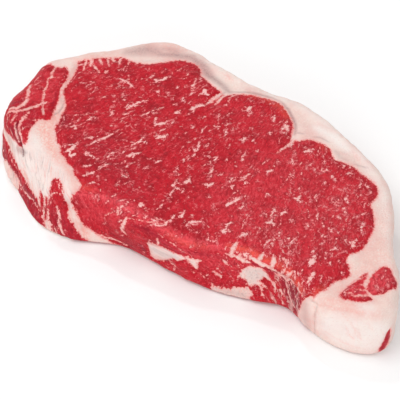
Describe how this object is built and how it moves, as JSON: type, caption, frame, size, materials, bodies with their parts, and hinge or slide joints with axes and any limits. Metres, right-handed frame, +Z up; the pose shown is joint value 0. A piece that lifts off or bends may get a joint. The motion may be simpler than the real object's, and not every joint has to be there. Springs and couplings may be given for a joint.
{
  "type": "raw sirloin steak",
  "caption": "Raw boneless sirloin steak, a thick irregular slab with a fat cap along one side and a fatty tail, lying flat on its cut face.",
  "frame": {"origin": "on the resting cut face, below the middle of the steak's box", "axes": "+X along the steak towards its fatty tail, +Y across it towards the fat cap, +Z up out of the upper cut face"},
  "size_m": [0.1952, 0.1066, 0.0233],
  "materials": {
    "meat": "moist raw beef, red lean with cream fat"
  },
  "bodies": {
    "root": {"steak": "meat"}
  },
  "joints": []
}
